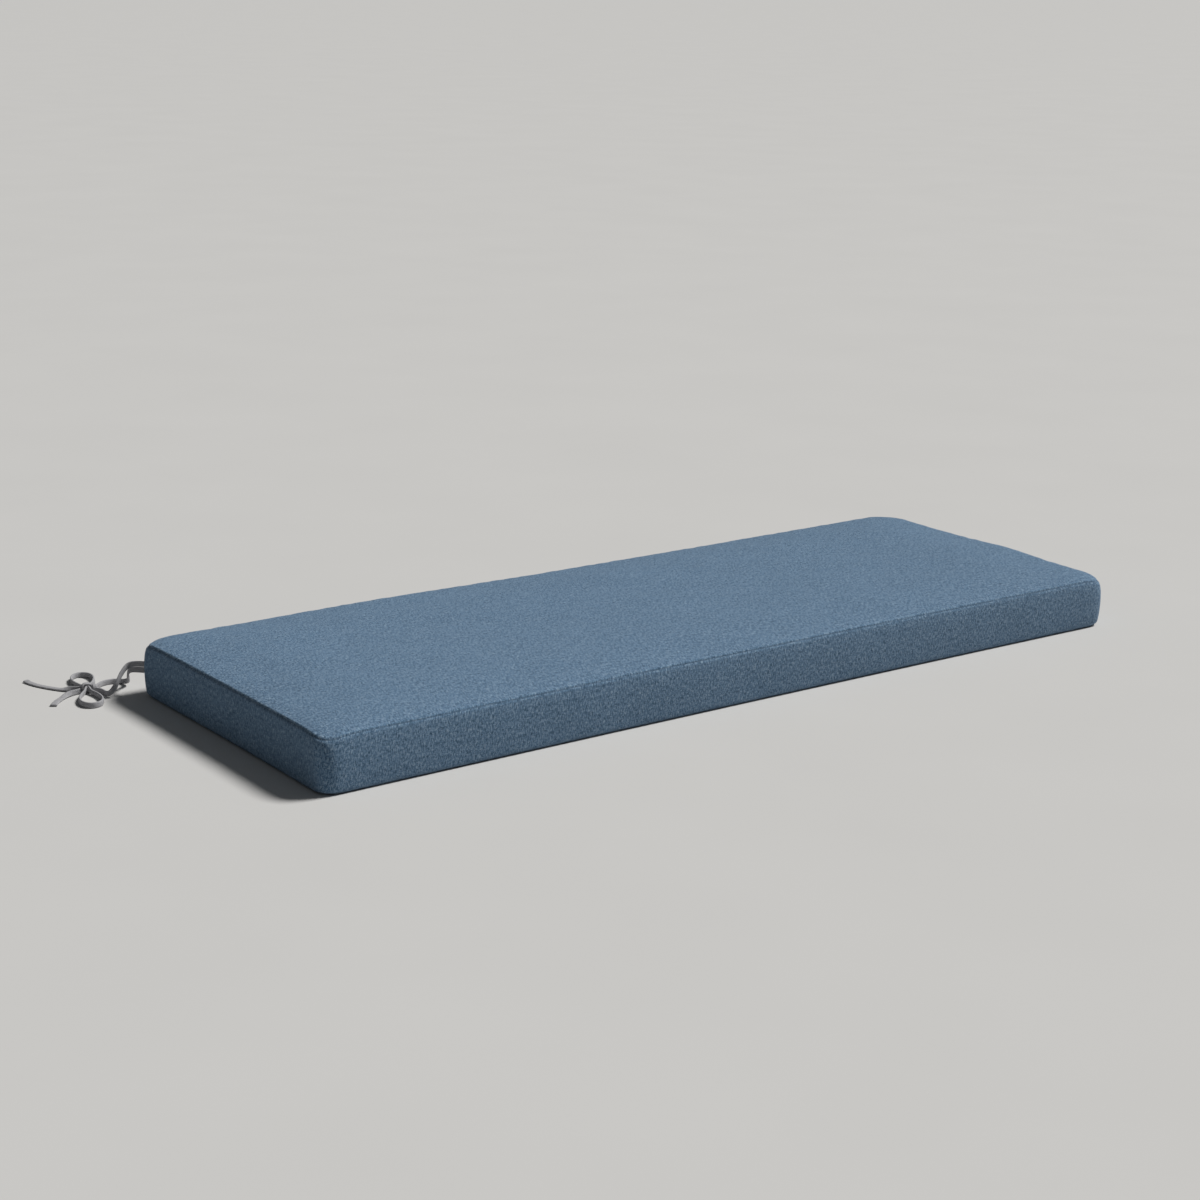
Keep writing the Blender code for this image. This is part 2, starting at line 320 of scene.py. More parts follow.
def tie_cloth():
    nodes = Nodes("tie_cloth")
    uv = nodes.add("ShaderNodeUVMap", uv_map="weave").outputs[0]
    split = nodes.add("ShaderNodeSeparateXYZ", {0: uv})
    along, across = split.outputs[0], split.outputs[1]
    height, thread, fleck, fibre, _ = woven(nodes, across, along, 0.00052, 0.00060, 0.10)
    shade = nodes.sum(
        "ADD",
        nodes.sum("MULTIPLY", nodes.spread(thread, 0.28, 0.72), 0.45),
        nodes.sum("ADD", nodes.sum("MULTIPLY", fleck, 0.30), nodes.sum("MULTIPLY", fibre, 0.25)),
    )
    colour = nodes.ramp(
        shade,
        (
            (0.10, (0.205, 0.205, 0.218)),
            (0.50, (0.325, 0.325, 0.342)),
            (0.92, (0.455, 0.452, 0.462)),
        ),
    )
    # The stitched edge of the folded tape: a shallow line, with a stitch every 2.6 mm.
    from_line = nodes.sum("ABSOLUTE", nodes.sum("SUBTRACT", across, 0.0022))
    in_line = nodes.spread(from_line, 0.0, 0.00055, 1.0, 0.0)
    beat = nodes.sum("FRACT", nodes.sum("DIVIDE", along, 0.0026))
    stitch = nodes.sum("MULTIPLY", in_line, nodes.spread(nodes.sum("PINGPONG", beat, 0.5), 0.06, 0.14))
    patches = nodes.spread(nodes.noise(nodes.vector(across, along), 90.0, 3.0), 0.25, 0.75, 0.92, 1.08)
    # Painted shade darkens the hem's crease.
    crease = nodes.spread(nodes.attribute("crease"), 0.0, 1.0, 1.0, 0.55)
    # Painted shade also darkens the groove of the stitched line.
    for share in (patches, nodes.spread(in_line, 0.0, 1.0, 1.0, 0.74), crease):
        colour = nodes.times(colour, share)
    thread_colour = nodes.add("ShaderNodeMix", {0: stitch}, data_type="RGBA")
    nodes.feed(thread_colour.inputs[6], colour)
    thread_colour.inputs[7].default_value = (0.43, 0.43, 0.45, 1.0)
    nodes.feed(nodes.shader.inputs["Base Color"], thread_colour.outputs[2])
    nodes.feed(nodes.shader.inputs["Roughness"], nodes.spread(shade, 0.0, 1.0, 0.92, 0.78))
    relief = nodes.sum(
        "ADD",
        nodes.sum("MULTIPLY", nodes.sum("ADD", height, nodes.sum("MULTIPLY", fibre, 0.3)), 0.30),
        nodes.sum("SUBTRACT", nodes.sum("MULTIPLY", stitch, 0.8), nodes.sum("MULTIPLY", in_line, 0.7)),
    )
    bump = nodes.add("ShaderNodeBump", {"Strength": 0.8, "Distance": 0.0004, "Height": relief})
    nodes.feed(nodes.shader.inputs["Normal"], bump.outputs[0])
    nodes.shader.inputs["Metallic"].default_value = 0.0
    nodes.shader.inputs["Specular IOR Level"].default_value = 0.25
    nodes.shader.inputs["Sheen Weight"].default_value = 0.12
    nodes.shader.inputs["Sheen Roughness"].default_value = 0.5
    return nodes.material


def floor_paint():
    nodes = Nodes("floor_paint")
    place = nodes.add("ShaderNodeTexCoord").outputs["Object"]
    soft = nodes.spread(nodes.noise(place, 3.0, 3.0), 0.2, 0.8, 0.985, 1.015)
    nodes.feed(nodes.shader.inputs["Base Color"], nodes.times(nodes.vector(0.548, 0.545, 0.538), soft))
    nodes.shader.inputs["Roughness"].default_value = 0.85
    nodes.shader.inputs["Specular IOR Level"].default_value = 0.2
    return nodes.material


# ------------------------------------------------------------------------ the ties
def smooth_line(stops, spacing):
    """Evenly spaced points on a smooth curve through the stops, as an array."""
    stops = np.array(stops, float)
    ends = np.vstack([2 * stops[0] - stops[1], stops, 2 * stops[-1] - stops[-2]])
    fine = [stops[0]]
    for a, b, c, d in zip(ends, ends[1:], ends[2:], ends[3:]):
        for t in np.arange(1, 33) / 32:
            fine.append(
                0.5
                * (2 * b + (c - a) * t + (2 * a - 5 * b + 4 * c - d) * t**2 + (3 * b - a - 3 * c + d) * t**3)
            )
    fine = np.array(fine)
    reach = np.concatenate([[0], np.cumsum(np.linalg.norm(np.diff(fine, axis=0), axis=1))])
    at = np.linspace(0, reach[-1], max(8, round(reach[-1] / spacing)) + 1)
    return np.stack([np.interp(at, reach, fine[:, k]) for k in range(3)], axis=1)


def unit(rows):
    return rows / np.maximum(np.linalg.norm(rows, axis=-1, keepdims=True), 1e-12)


def length_of(points):
    return float(np.linalg.norm(np.diff(points, axis=0), axis=1).sum())


def section(count):
    """The tape's cross-section, as shares of its half width and half thickness."""
    turn = np.arange(count) * 2 * math.pi / count
    c, s = np.cos(turn), np.sin(turn)
    return np.sign(c) * np.abs(c) ** 0.55, np.sign(s) * np.abs(s) ** 0.70


def tape(name, points, width_way, half_width, half_thick, material, closed=False, crease=None, count=18):
    """A flat tape along points. width_way is the direction of its width at each of them."""
    points = np.asarray(points, float)
    number = len(points)
    if closed:
        tangent = unit(np.roll(points, -1, axis=0) - np.roll(points, 1, axis=0))
    else:
        tangent = unit(np.gradient(points, axis=0))
    wide = unit(width_way - (width_way * tangent).sum(1, keepdims=True) * tangent)
    thick = np.cross(tangent, wide)
    half_width = np.broadcast_to(half_width, number)
    half_thick = np.broadcast_to(half_thick, number)
    share_w, share_t = section(count)
    rings = (
        points[:, None]
        + wide[:, None] * (half_width[:, None] * share_w)[..., None]
        + thick[:, None] * (half_thick[:, None] * share_t)[..., None]
    )
    verts = rings.reshape(-1, 3)
    reach = np.concatenate([[0], np.cumsum(np.linalg.norm(np.diff(points, axis=0), axis=1))])
    faces, uvs = [], []
    last = number if closed else number - 1
    step = np.linalg.norm(points[0] - points[-1]) if closed else 0.0
    ends = np.append(reach, reach[-1] + step)
    side = share_w * TIE_WIDTH / 2
    for k in range(last):
        after = (k + 1) % number
        for m in range(count):
            n = (m + 1) % count
            faces.append((k * count + m, k * count + n, after * count + n, after * count + m))
            uvs += [(ends[k], side[m]), (ends[k], side[n]), (ends[k + 1], side[n]), (ends[k + 1], side[m])]
    if not closed:
        faces.append(tuple(range(count))[::-1])
        uvs += [(ends[0], side[m]) for m in range(count)][::-1]
        faces.append(tuple((number - 1) * count + m for m in range(count)))
        uvs += [(ends[-1], side[m]) for m in range(count)]
    mesh = bpy.data.meshes.new(name)
    mesh.from_pydata(verts.tolist(), [], faces)
    layer = mesh.uv_layers.new(name="weave")
    layer.data.foreach_set("uv", np.array(uvs, np.float32).ravel())
    # Where painted shade darkens the hem's crease.
    marks = np.zeros(number) if crease is None else np.asarray(crease)
    attribute = mesh.attributes.new("crease", "FLOAT", "POINT")
    attribute.data.foreach_set("value", np.repeat(marks, count).astype(np.float32))
    mesh.update()
    mesh.shade_smooth()
    mesh.materials.append(material)
    thing = bpy.data.objects.new(name, mesh)
    SCENE.collection.objects.link(thing)
    return thing


class RearCorner:
    """A rear corner's own measures as places. side is -1 at the left end and 1 at the right."""

    def __init__(self, side):
        self.side = side
        self.knot = np.array(self.place((KNOT_OUT, KNOT_BACK, LIE)))

    def place(self, stop):
        return (self.side * (LENGTH / 2 + stop[0]), DEPTH / 2 + stop[1], stop[2])

    def from_knot(self, bearing, along, aside=0.0, height=LIE):
        turn = math.radians(bearing)
        x = along * math.cos(turn) - aside * math.sin(turn)
        y = along * math.sin(turn) + aside * math.cos(turn)
        return (self.knot[0] - self.side * x, self.knot[1] + y, height)

    def strap(self, run, run_bearing, loop_bearing, out_first, tail_bearing, tail, tail_height, lift):
        """One tie from where it is sewn in: its run, through the knot, its loop, back through the knot, and its tail."""
        inside = [tuple(2 * np.array(run[0]) - np.array(run[1]))]
        stops = [self.place(s) for s in inside + list(run)]
        stops.append(self.from_knot(run_bearing, EXIT_RADIUS))
        one = loop_bearing + (HALF_LOOP_ANGLE if out_first > 0 else -HALF_LOOP_ANGLE)
        two = loop_bearing - (HALF_LOOP_ANGLE if out_first > 0 else -HALF_LOOP_ANGLE)
        stops.append(self.from_knot(run_bearing, 0.0040, height=lift[0]))
        stops.append(self.from_knot(one, 0.0040, height=lift[0]))
        stops.append(self.from_knot(one, EXIT_RADIUS))
        stops += [self.from_knot(loop_bearing, a, out_first * b) for a, b in HALF_LOOP]
        stops.append(self.from_knot(loop_bearing, *LOOP_TIP))
        stops += [self.from_knot(loop_bearing, a, -out_first * b) for a, b in reversed(HALF_LOOP)]
        stops.append(self.from_knot(two, EXIT_RADIUS))
        stops.append(self.from_knot(two, 0.0040, height=lift[1]))
        stops.append(self.from_knot(tail_bearing, 0.0040, height=lift[1]))
        stops.append(self.from_knot(tail_bearing, EXIT_RADIUS))
        stops += [self.from_knot(tail_bearing, a, b, tail_height) for a, b in tail]
        return smooth_line(stops, 0.0015)


def lay_tape(name, line, tail_length, lean, material):
    """The strap's tape: on its edge along the run and loop, turned flat along the tail."""
    number = len(line)
    reach = np.linspace(0, length_of(line), number)
    from_end = reach[-1] - reach
    flat = np.clip((tail_length - 0.012 - from_end) / 0.030, 0, 1)
    flat = flat * flat * (3 - 2 * flat)
    roll = np.radians(88.0) * flat + (1 - flat) * np.radians(lean) * np.sin(reach / 0.055 + lean)
    roll *= np.clip(reach / 0.02, 0, 1)
    half_w = np.full(number, 1.06 * TIE_WIDTH / 2)
    half_w *= 1 + 0.04 * np.sin(reach / 0.017) + 0.16 * flat * np.clip(1 - from_end / 0.05, 0, 1)
    half_t = np.full(number, TIE_THICKNESS / 2)
    half_t *= 1 - 0.12 * flat + 0.05 * np.sin(reach / 0.011 + 1)
    hem = np.exp(-(((from_end - 0.0065) / 0.0007) ** 2))
    half_t *= (1 - 0.22 * hem) * (1 + 0.12 * (from_end < 0.006))
    cap = np.clip(from_end / 0.0010, 0, 1)
    half_t *= 0.55 + 0.45 * np.sqrt(cap)
    half_w *= 0.94 + 0.06 * np.sqrt(cap)
    lying = line[:, 2] < LIE + 0.0030
    low = np.abs(np.cos(roll)) * half_w + np.abs(np.sin(roll)) * half_t + 0.0002
    line = line.copy()
    at_rest = np.where(lying & (flat > 0), low, np.maximum(line[:, 2], low))
    kernel = np.ones(7) / 7
    padded = np.pad(at_rest, 3, mode="edge")
    line[:, 2] = np.maximum(np.convolve(padded, kernel, "valid"), low)
    line[0, 2] = at_rest[0]
    tangent = unit(np.gradient(line, axis=0))
    up = unit(np.array([0, 0, 1.0]) - tangent * tangent[:, 2:3])
    across = np.cross(tangent, up)
    wide = np.cos(roll)[:, None] * up + np.sin(roll)[:, None] * across
    return tape(name, line, wide, half_w, half_t, material, crease=hem), line


def make_knot(name, corner, material):
    """The band wrapped round the loops, the folds inside it, and the first half knot beside it."""
    upright = np.array([0, 0, 1.0])

    def level_way(bearing):
        turn = math.radians(bearing)
        return np.array([-corner.side * math.cos(turn), math.sin(turn), 0.0])

    def turn_round(label, middle, axis, half_across, half_high, half_width, half_thick, skew):
        """A closed turn of tape round an axis."""
        t = np.linspace(0, 2 * math.pi, 72, endpoint=False)
        side = np.cross(axis, upright)
        up = np.cross(side, axis)
        swell = 1 + 0.04 * np.sin(3 * t + 0.8)
        c, s = np.cos(t), np.sin(t)
        path = (
            middle
            + (swell * half_across * np.sign(c) * np.abs(c) ** 0.86)[:, None] * side
            + (swell * half_high * np.sign(s) * np.abs(s) ** 0.86)[:, None] * up
            + (skew * c)[:, None] * axis
        )
        width = half_width * (1 + 0.10 * np.cos(2 * t) + 0.05 * np.sin(5 * t))
        wide = np.broadcast_to(axis, path.shape)
        return tape(label, path, wide, width, half_thick, material, closed=True, count=20)

    centre = np.array([corner.knot[0], corner.knot[1], 0.0074])
    loops = level_way(FAR_LOOP_BEARING)
    band = turn_round(name, centre, loops, 0.0064, 0.0055, 0.0040, 0.0013, 0.0011)
    along = np.linspace(-0.0052, 0.0052, 16)
    bulge = np.sqrt(np.clip(1 - (along / 0.0056) ** 2, 0.02, 1))
    folds = tape(
        name + "_folds",
        centre + along[:, None] * loops + (0.0004 * np.sin(along / 0.0016))[:, None] * upright,
        np.broadcast_to(np.cross(loops, upright), (16, 3)),
        0.0056 * bulge,
        0.0047 * bulge,
        material,
        count=24,
    )
    way = unit((level_way(342.0) + 0.10 * upright)[None])[0]
    lean = unit((level_way(342.0 + 24.0) + 0.10 * upright)[None])[0]
    half_knot = turn_round(
        name + "_turn", centre + way * 0.0094 - 0.0012 * upright, lean, 0.0050, 0.0043, 0.0031, 0.0012, -0.0008
    )
    return band, folds, half_knot


def make_ties(material):
    for side_name, side in (("left", -1), ("right", 1)):
        corner = RearCorner(side)
        knot = make_knot(f"{side_name}_bow_knot", corner, material)
        for piece in knot:
            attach(piece, "root")
        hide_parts(f"{side_name}_knot")
        straps = (
            (
                "end",
                corner.strap(
                    END_RUN, END_RUN_BEARING, FAR_LOOP_BEARING, 1, NEAR_TAIL_BEARING, NEAR_TAIL, 0.0019, (0.0056, 0.0062)
                ),
                0.070,
                9.0,
                END_RUN[0],
            ),
            (
                "back",
                corner.strap(
                    BACK_RUN, BACK_RUN_BEARING, NEAR_LOOP_BEARING, -1, FAR_TAIL_BEARING, FAR_TAIL, 0.0019, (0.0070, 0.0076)
                ),
                0.106,
                -8.0,
                BACK_RUN[0],
            ),
        )
        for tie_name, line, tail_length, lean, start in straps:
            piece, path = lay_tape(f"{side_name}_{tie_name}_tie", line, tail_length, lean, material)
            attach(piece, "root")
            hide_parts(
                *[f"{side_name}_{tie_name}_tie_{part}" for part in ("run", "loop", "tail")]
            )
            round(length_of(path), 3)


# ---------------------------------------------------------------------- the cushion
def monotone(places, values):
    """A smooth function through the points that doesn't overshoot between them."""
    x, y = np.array(places, float), np.array(values, float)
    h, slope = np.diff(x), np.diff(y) / np.diff(x)
    m = np.concatenate([[slope[0]], np.zeros(len(x) - 2), [slope[-1]]])
    for k in range(1, len(x) - 1):
        if slope[k - 1] * slope[k] > 0:
            a, b = 2 * h[k] + h[k - 1], h[k] + 2 * h[k - 1]
            m[k] = (a + b) / (a / slope[k - 1] + b / slope[k])

    def at(q):
        q = np.clip(np.asarray(q, float), x[0], x[-1])
        k = np.clip(np.searchsorted(x, q, side="right") - 1, 0, len(x) - 2)
        t = (q - x[k]) / h[k]
        return (
            (2 * t**3 - 3 * t**2 + 1) * y[k]
            + (t**3 - 2 * t**2 + t) * h[k] * m[k]
            + (3 * t**2 - 2 * t**3) * y[k + 1]
            + (t**3 - t**2) * h[k] * m[k + 1]
        )

    return at


top_height = monotone([r[0] for r in TOP_EDGE], [r[1] for r in TOP_EDGE])
bottom_height = monotone([r[0] for r in BOTTOM_EDGE], [r[1] for r in BOTTOM_EDGE])
boxing_inset = monotone([r[1] for r in BOXING], [r[0] for r in BOXING])


def radius_at(inset):
    return np.minimum(CORNER_RADIUS + CROWN_ROUNDING * inset, 0.9 * (DEPTH / 2 - inset))


def dropped(points):
    """The points with the top lowered towards the upright corners."""
    away = np.hypot(LENGTH / 2 - np.abs(points[:, 0]), DEPTH / 2 - np.abs(points[:, 1]))
    away = np.maximum(away - CORNER_RADIUS * (math.sqrt(2) - 1), 0.0)
    share = np.minimum(points[:, 2] / TOP_SEAM_HEIGHT, 1.0) ** 2
    points[:, 2] -= CORNER_DROP * share * np.exp(-((away / CORNER_DROP_REACH) ** 2))
    return points


def drawn_in(x, y):
    across = 1.0 - (2.0 * x / LENGTH) ** 2
    along = 1.0 - (2.0 * y / DEPTH) ** 2
    return (
        x * (1.0 - DRAWN_IN_SHORT / (LENGTH / 2) * along),
        y * (1.0 - DRAWN_IN_LONG / (DEPTH / 2) * across),
    )


def rounded(x, y, inset):
    """Points of the square contour at this inset, moved to the contour with its round corners."""
    r = radius_at(inset)
    cx, cy = LENGTH / 2 - inset - r, DEPTH / 2 - inset - r
    px, py = np.abs(x) - cx, np.abs(y) - cy
    corner = (px > 0) & (py > 0)
    reach = np.maximum(np.hypot(px, py), 1e-9)
    scale = np.where(corner, np.maximum(px, py) / reach, 1.0)
    nx = np.where(corner, cx + px * scale, np.abs(x))
    ny = np.where(corner, cy + py * scale, np.abs(y))
    return np.sign(x) * nx, np.sign(y) * ny


def moved(x, y, inset, to):
    """Points of the round-cornered contour at inset, moved to the contour at another inset."""
    r, r2 = radius_at(inset), radius_at(to)
    cx, cy = LENGTH / 2 - inset - r, DEPTH / 2 - inset - r
    dx, dy = LENGTH / 2 - to - r2, DEPTH / 2 - to - r2
    px, py = np.abs(x) - cx, np.abs(y) - cy
    corner = (px > 1e-9) & (py > 1e-9)
    turn = np.arctan2(np.maximum(py, 0), np.maximum(px, 0))
    on_long = ~corner & ((DEPTH / 2 - np.abs(y)) <= (LENGTH / 2 - np.abs(x)))
    stretch_x, stretch_y = dx / np.maximum(cx, 1e-9), dy / np.maximum(cy, 1e-9)
    nx = np.where(corner, dx + r2 * np.cos(turn), np.where(on_long, np.abs(x) * stretch_x, LENGTH / 2 - to))
    ny = np.where(corner, dy + r2 * np.sin(turn), np.where(on_long, DEPTH / 2 - to, np.abs(y) * stretch_y))
    return np.sign(x) * nx, np.sign(y) * ny


def grid_lines(half, insets, spacing):
    inner = half - insets[-1]
    middle = np.linspace(-inner, inner, round(2 * inner / spacing) + 1)
    edge = -half + np.array(insets[:-1])
    return np.concatenate([edge, middle, -edge[::-1]])


def cover(spacing, top_insets, bottom_insets, levels):
    """The cover as one closed mesh of three panels: places, rise along the section, faces and their weave places."""
    xs, ys = grid_lines(LENGTH / 2, top_insets, spacing), grid_lines(DEPTH / 2, top_insets, spacing)
    nx, ny = len(xs), len(ys)
    gx, gy = np.meshgrid(xs, ys, indexing="ij")
    inset = np.minimum(LENGTH / 2 - np.abs(gx), DEPTH / 2 - np.abs(gy))
    tx, ty = rounded(gx, gy, inset)
    low_inset = np.where(
        inset < top_insets[-1], np.interp(inset, top_insets, bottom_insets), inset
    )
    bx, by = moved(tx, ty, inset, low_inset)
    edge = (
        [(0, j) for j in range(ny - 1, 0, -1)]
        + [(i, 0) for i in range(nx - 1)]
        + [(nx - 1, j) for j in range(ny - 1)]
        + [(i, ny - 1) for i in range(nx - 1, 0, -1)]
    )
    ei, ej = np.array([e[0] for e in edge]), np.array([e[1] for e in edge])
    count = len(edge)
    places = [np.stack([*drawn_in(tx, ty), top_height(inset)], axis=-1).reshape(-1, 3)]
    places.append(np.stack([*drawn_in(bx, by), bottom_height(low_inset)], axis=-1).reshape(-1, 3))
    for level in levels[1:-1]:
        q = boxing_inset(level)
        rx, ry = moved(tx[ei, ej], ty[ei, ej], inset[ei, ej], np.full(count, q))
        places.append(np.stack([*drawn_in(rx, ry), np.full(count, level)], axis=-1))
    points = dropped(np.vstack(places))
    # The rise is the length along the section from the bottom seam.
    steps = np.hypot(np.diff(levels), np.diff(boxing_inset(np.array(levels))))
    box_rise = np.concatenate([[0], np.cumsum(steps)])
    q = np.linspace(top_insets[0], 0.26, 4000)
    top_reach = np.concatenate([[0], np.cumsum(np.hypot(np.diff(q), np.diff(top_height(q))))])
    qb = np.linspace(bottom_insets[0], 0.26, 4000)
    low_reach = np.concatenate([[0], np.cumsum(np.hypot(np.diff(qb), np.diff(bottom_height(qb))))])
    rise = np.concatenate(
        [
            box_rise[-1] + np.interp(inset, q, top_reach).ravel(),
            -np.interp(low_inset, qb, low_reach).ravel(),
        ]
        + [np.full(count, r) for r in box_rise[1:-1]]
    )

    def top(i, j):
        return i * ny + j

    def low(i, j):
        return nx * ny + i * ny + j

    rows = [low(ei, ej)]
    rows += [2 * nx * ny + k * count + np.arange(count) for k in range(len(levels) - 2)]
    rows.append(top(ei, ej))
    around = points[rows[len(rows) // 2]]
    reach = np.concatenate(
        [[0], np.cumsum(np.linalg.norm(np.roll(around, -1, axis=0) - around, axis=1))]
    )
    faces, weave = [], []
    for i in range(nx - 1):
        for j in range(ny - 1):
            ring = (top(i, j), top(i + 1, j), top(i + 1, j + 1), top(i, j + 1))
            faces.append(ring)
            weave += [(points[v][0], points[v][1]) for v in ring]
            ring = (low(i, j), low(i, j + 1), low(i + 1, j + 1), low(i + 1, j))
            faces.append(ring)
            weave += [(points[v][0] + 3.07, points[v][1] + 2.03) for v in ring]
    for k in range(len(rows) - 1):
        for c in range(count):
            n = (c + 1) % count
            faces.append((int(rows[k][c]), int(rows[k][n]), int(rows[k + 1][n]), int(rows[k + 1][c])))
            low_v, high_v = box_rise[k] + 5.0, box_rise[k + 1] + 5.0
            weave += [(reach[c], low_v), (reach[c + 1], low_v), (reach[c + 1], high_v), (reach[c], high_v)]
    return points, rise, faces, weave, box_rise[-1]


def simulate():
    """Fills a coarse copy of the cover under pressure. Gives its places before and how far each has moved."""
    levels = [0.0028, 0.018, 0.032, 0.045, 0.059, 0.0740]
    points, rise, faces, _, seam_rise = cover(0.018, [0.0040, 0.0130, 0.0260], [0.0036, 0.0105, 0.0240], levels)
    start = points.copy()
    above = np.clip((points[:, 2] - 0.0740) / 0.0110, 0, 1)
    start[:, 2] -= 0.0045 * above
    start[:, 0] *= 0.9985
    start[:, 1] *= 0.9970
    mesh = bpy.data.meshes.new("filling")
    mesh.from_pydata(start.tolist(), [], faces)
    mesh.update()
    thing = bpy.data.objects.new("filling", mesh)
    SCENE.collection.objects.link(thing)
    held = thing.vertex_groups.new(name="held")
    for index in np.nonzero(points[:, 2] < 0.0060)[0]:
        held.add([int(index)], 1.0, "REPLACE")
    for index in np.nonzero(np.abs(rise - seam_rise) < 1e-6)[0]:
        held.add([int(index)], 0.72, "REPLACE")
    cloth = thing.modifiers.new("cloth", "CLOTH")
    settings = cloth.settings
    settings.quality = 6
    settings.mass = 0.25
    settings.tension_stiffness = settings.compression_stiffness = 40.0
    settings.shear_stiffness = 20.0
    settings.bending_stiffness = 4.0
    settings.vertex_group_mass = "held"
    settings.pin_stiffness = 3.0
    settings.use_pressure = True
    settings.uniform_pressure_force = 1.6
    settings.effector_weights.gravity = 0.0
    cloth.collision_settings.use_collision = False
    cloth.collision_settings.use_self_collision = False
    cloth.point_cache.frame_start, cloth.point_cache.frame_end = 1, 20
    for number in range(1, 21):
        SCENE.frame_set(number)
    graph = bpy.context.evaluated_depsgraph_get()
    result = thing.evaluated_get(graph).to_mesh()
    after = np.empty(len(result.vertices) * 3, np.float32)
    result.vertices.foreach_get("co", after)
    thing.evaluated_get(graph).to_mesh_clear()
    bpy.data.objects.remove(thing, do_unlink=True)
    bpy.data.meshes.remove(mesh)
    SCENE.frame_set(1)
    shift = after.reshape(-1, 3).astype(float) - points
    size = np.linalg.norm(shift, axis=1, keepdims=True)
    cap = 0.0018
    print("filling moved, mean and most in mm:", round(float(size.mean()) * 1000, 2), round(float(size.max()) * 1000, 2))
    return points, shift * (cap * np.tanh(size / cap) / np.maximum(size, 1e-9))


def spread_over(points, known, shift):
    """The known shifts, smoothly spread over other points."""
    tree = kdtree.KDTree(len(known))
    for index, place in enumerate(known):
        tree.insert(place, index)
    tree.balance()
    result = np.zeros((len(points), 3))
    for index, place in enumerate(points):
        near = tree.find_n(place, 9)
        weight = np.array([math.exp(-((n[2] / 0.014) ** 2)) + 1e-9 for n in near])
        result[index] = (shift[[n[1] for n in near]] * weight[:, None]).sum(0) / weight.sum()
    return result


def around_edge(x, y):
    """How far round the outline each point is, and how far it is from the upright seam of the nearest rear corner."""
    cx, cy = LENGTH / 2 - CORNER_RADIUS, DEPTH / 2 - CORNER_RADIUS
    quarter = CORNER_RADIUS * math.pi / 2
    px, py = np.abs(x) - cx, np.abs(y) - cy
    corner = (px > 0) & (py > 0)
    turn = np.arctan2(np.maximum(py, 0), np.maximum(px, 0))
    on_long = (DEPTH / 2 - np.abs(y)) < (LENGTH / 2 - np.abs(x))
    # Each quarter of the outline runs from the middle of an end to the middle of a long side.
    part = np.where(
        corner,
        cy + turn * CORNER_RADIUS,
        np.where(on_long, cy + quarter + (cx - np.abs(x)), np.abs(y)),
    )
    full = cy + quarter + cx
    right, rear = x >= 0, y >= 0
    place = np.select(
        [right & rear, ~right & rear, ~right & ~rear],
        [part, 2 * full - part, 2 * full + part],
        4 * full - part,
    )
    from_upright = np.where(rear, np.abs(part - cy - quarter / 2), 1.0)
    return place / (4 * full), from_upright


def waves(share, counts, seed):
    """A wavy value round the outline, which meets itself, from -1 to 1."""
    phases = np.random.default_rng(seed).uniform(0, 2 * math.pi, len(counts))
    total = sum(np.sin(2 * math.pi * n * share + p) for n, p in zip(counts, phases))
    return total / math.sqrt(2 * len(counts))


def soft_noise(x, y, size, seed):
    """Smooth uneven value over the plane, about -1 to 1."""
    rng = np.random.default_rng(seed)
    total = np.zeros_like(x)
    for _ in range(9):
        way, phase = rng.uniform(0, 2 * math.pi, 2)
        wave = size * rng.uniform(0.6, 1.7)
        total += np.sin(2 * math.pi * (x * math.cos(way) + y * math.sin(way)) / wave + phase)
    return total / 3.0


def make_cushion(material):
    levels = [0.0028, 0.0038, 0.0056, 0.0088, 0.0135, 0.0205, 0.0290, 0.0382, 0.0478, 0.0565, 0.0638, 0.0682, 0.0711, 0.0728, 0.0740]
    top_insets = [0.0040, 0.0051, 0.0067, 0.0092, 0.0130, 0.0185, 0.0260, 0.0350]
    bottom_insets = [0.0036, 0.0046, 0.0060, 0.0082, 0.0115, 0.0170, 0.0250, 0.0350]
    points, rise, faces, weave, seam_rise = cover(0.0112, top_insets, bottom_insets, levels)
    rest = points.copy()
    known, shift = simulate()
    moved_by = spread_over(rest, known, shift)
    resting = np.clip(rest[:, 2] / 0.012, 0, 1)[:, None]
    points = points + moved_by * resting
    mesh = bpy.data.meshes.new("cushion_cover")
    mesh.from_pydata(points.tolist(), [], faces)
    layer = mesh.uv_layers.new(name="weave")
    layer.data.foreach_set("uv", np.array(weave, np.float32).ravel())
    attribute = mesh.attributes.new("rest", "FLOAT_VECTOR", "POINT")
    attribute.data.foreach_set("vector", rest.astype(np.float32).ravel())
    attribute = mesh.attributes.new("rise", "FLOAT", "POINT")
    attribute.data.foreach_set("value", rise.astype(np.float32))
    mesh.update()
    rough = bpy.data.objects.new("rough", mesh)
    SCENE.collection.objects.link(rough)
    smooth = rough.modifiers.new("smooth", "SUBSURF")
    smooth.levels = smooth.render_levels = 1
    smooth.uv_smooth = "NONE"
    graph = bpy.context.evaluated_depsgraph_get()
    fine = bpy.data.meshes.new_from_object(rough.evaluated_get(graph), depsgraph=graph)
    bpy.data.objects.remove(rough, do_unlink=True)
    fine.name = "cushion_cover"
    detail(fine, seam_rise)
    fine.materials.clear()
    fine.materials.append(material)
    fine.shade_smooth()
    cushion = bpy.data.objects.new("cushion_cover", fine)
    SCENE.collection.objects.link(cushion)
    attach(cushion, "root")
    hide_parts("cushion")
    return cushion


